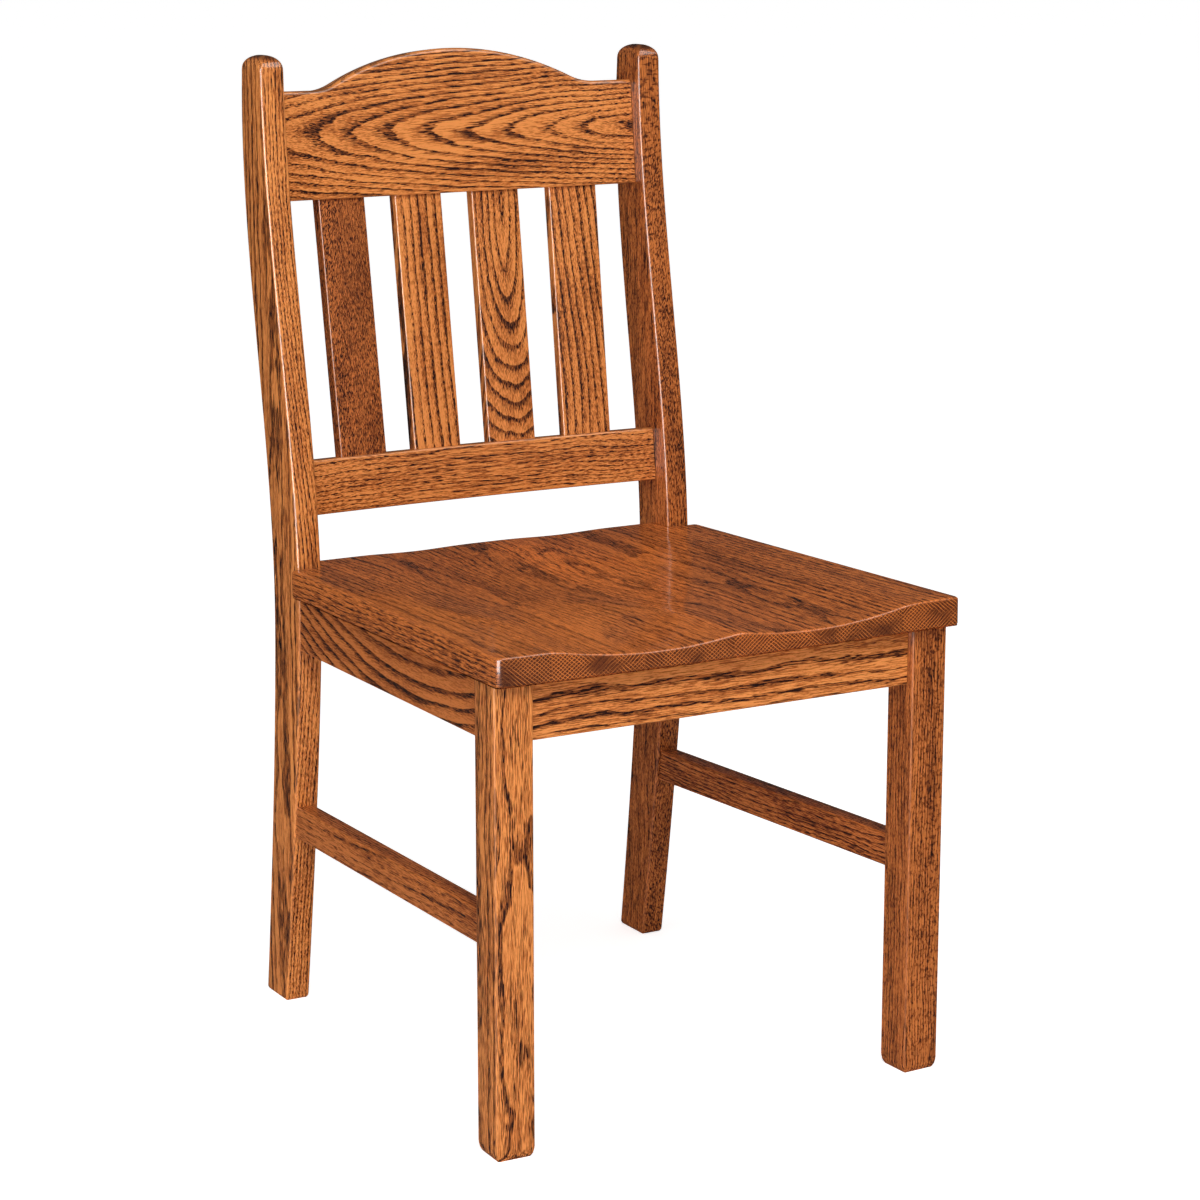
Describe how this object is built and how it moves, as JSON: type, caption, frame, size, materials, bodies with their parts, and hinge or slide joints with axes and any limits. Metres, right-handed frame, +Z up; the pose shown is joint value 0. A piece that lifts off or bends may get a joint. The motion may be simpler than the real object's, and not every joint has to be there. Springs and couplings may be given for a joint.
{
  "type": "dining_chair",
  "caption": "Solid wood side chair with a saddled seat, bent rear posts, a bowed crest rail with a raised crown, flat back slats, aprons and a stretcher at each side",
  "frame": {"origin": "On the floor, under the centre of the overall bounding box", "axes": "+Z is up; the chair faces -Y, so the seat's front edge is at low Y and the back rest at high Y; +X is to the right of a viewer who stands in front of the chair and looks at it. Left and right in node names are that viewer's"},
  "size_m": [0.479, 0.5604, 0.9333],
  "materials": {
    "oak": "clear satin lacquer over an orange-brown stain",
    "oak_dark": "clear satin lacquer over an orange-brown stain, darker wood",
    "oak_seat": "clear satin lacquer over an orange-brown stain",
    "block_wood": "bare wood",
    "screw_steel": "zinc plated"
  },
  "bodies": {
    "root": {"rear_leg_left": "oak", "rear_leg_right": "oak", "front_leg_left": "oak", "front_leg_right": "oak", "crest_rail": "oak", "lower_back_rail": "oak", "back_slat_1": "oak_dark", "back_slat_2": "oak", "back_slat_3": "oak", "back_slat_4": "oak", "front_apron": "oak", "rear_apron": "oak", "side_apron_left": "oak", "side_apron_right": "oak", "side_stretcher_left": "oak_dark", "side_stretcher_right": "oak_dark", "seat_board_1": "oak_seat", "seat_board_2": "oak_seat", "seat_board_3": "oak_seat", "seat_board_4": "oak_seat", "seat_board_5": "oak_seat", "seat_board_6": "oak_seat", "corner_block_front_left": "block_wood", "corner_block_front_right": "block_wood", "corner_block_rear_left": "block_wood", "corner_block_rear_right": "block_wood", "block_screws": "screw_steel", "seat_screws": "screw_steel"}
  },
  "joints": []
}
